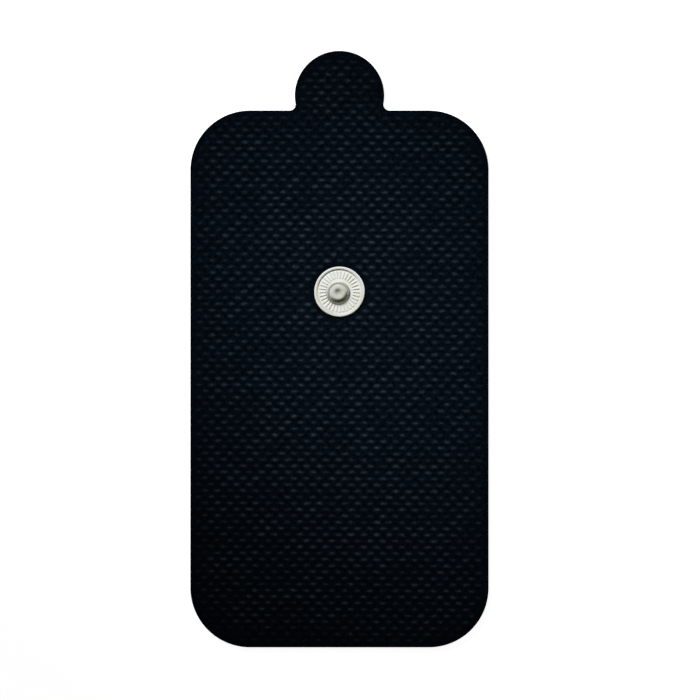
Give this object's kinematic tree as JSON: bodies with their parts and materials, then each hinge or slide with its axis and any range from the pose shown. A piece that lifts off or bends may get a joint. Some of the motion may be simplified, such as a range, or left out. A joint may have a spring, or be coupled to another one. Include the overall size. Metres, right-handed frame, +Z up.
{
  "type": "electrode pad",
  "caption": "Flat rounded rectangular adhesive electrode pad with a pull tab and a metal snap stud for a stimulator lead.",
  "frame": {"origin": "on the resting surface, under the middle of the overall outline of body and tab", "axes": "+Y along the pad to its pull tab, +Z up from the gel side to the snap stud, +X across the pad to the right when the tab points away"},
  "size_m": [0.05, 0.1, 0.0036],
  "materials": {
    "black_nonwoven": "matte",
    "carbon_film": "matte",
    "hydrogel": "gloss",
    "nickel_plate": "satin",
    "white_vinyl": "satin"
  },
  "bodies": {
    "root": {"backing_cloth": "black_nonwoven", "conductive_film": "carbon_film", "hydrogel": "hydrogel", "snap_stud": "nickel_plate", "snap_eyelet": "nickel_plate", "insulating_disc": "white_vinyl"}
  },
  "joints": []
}
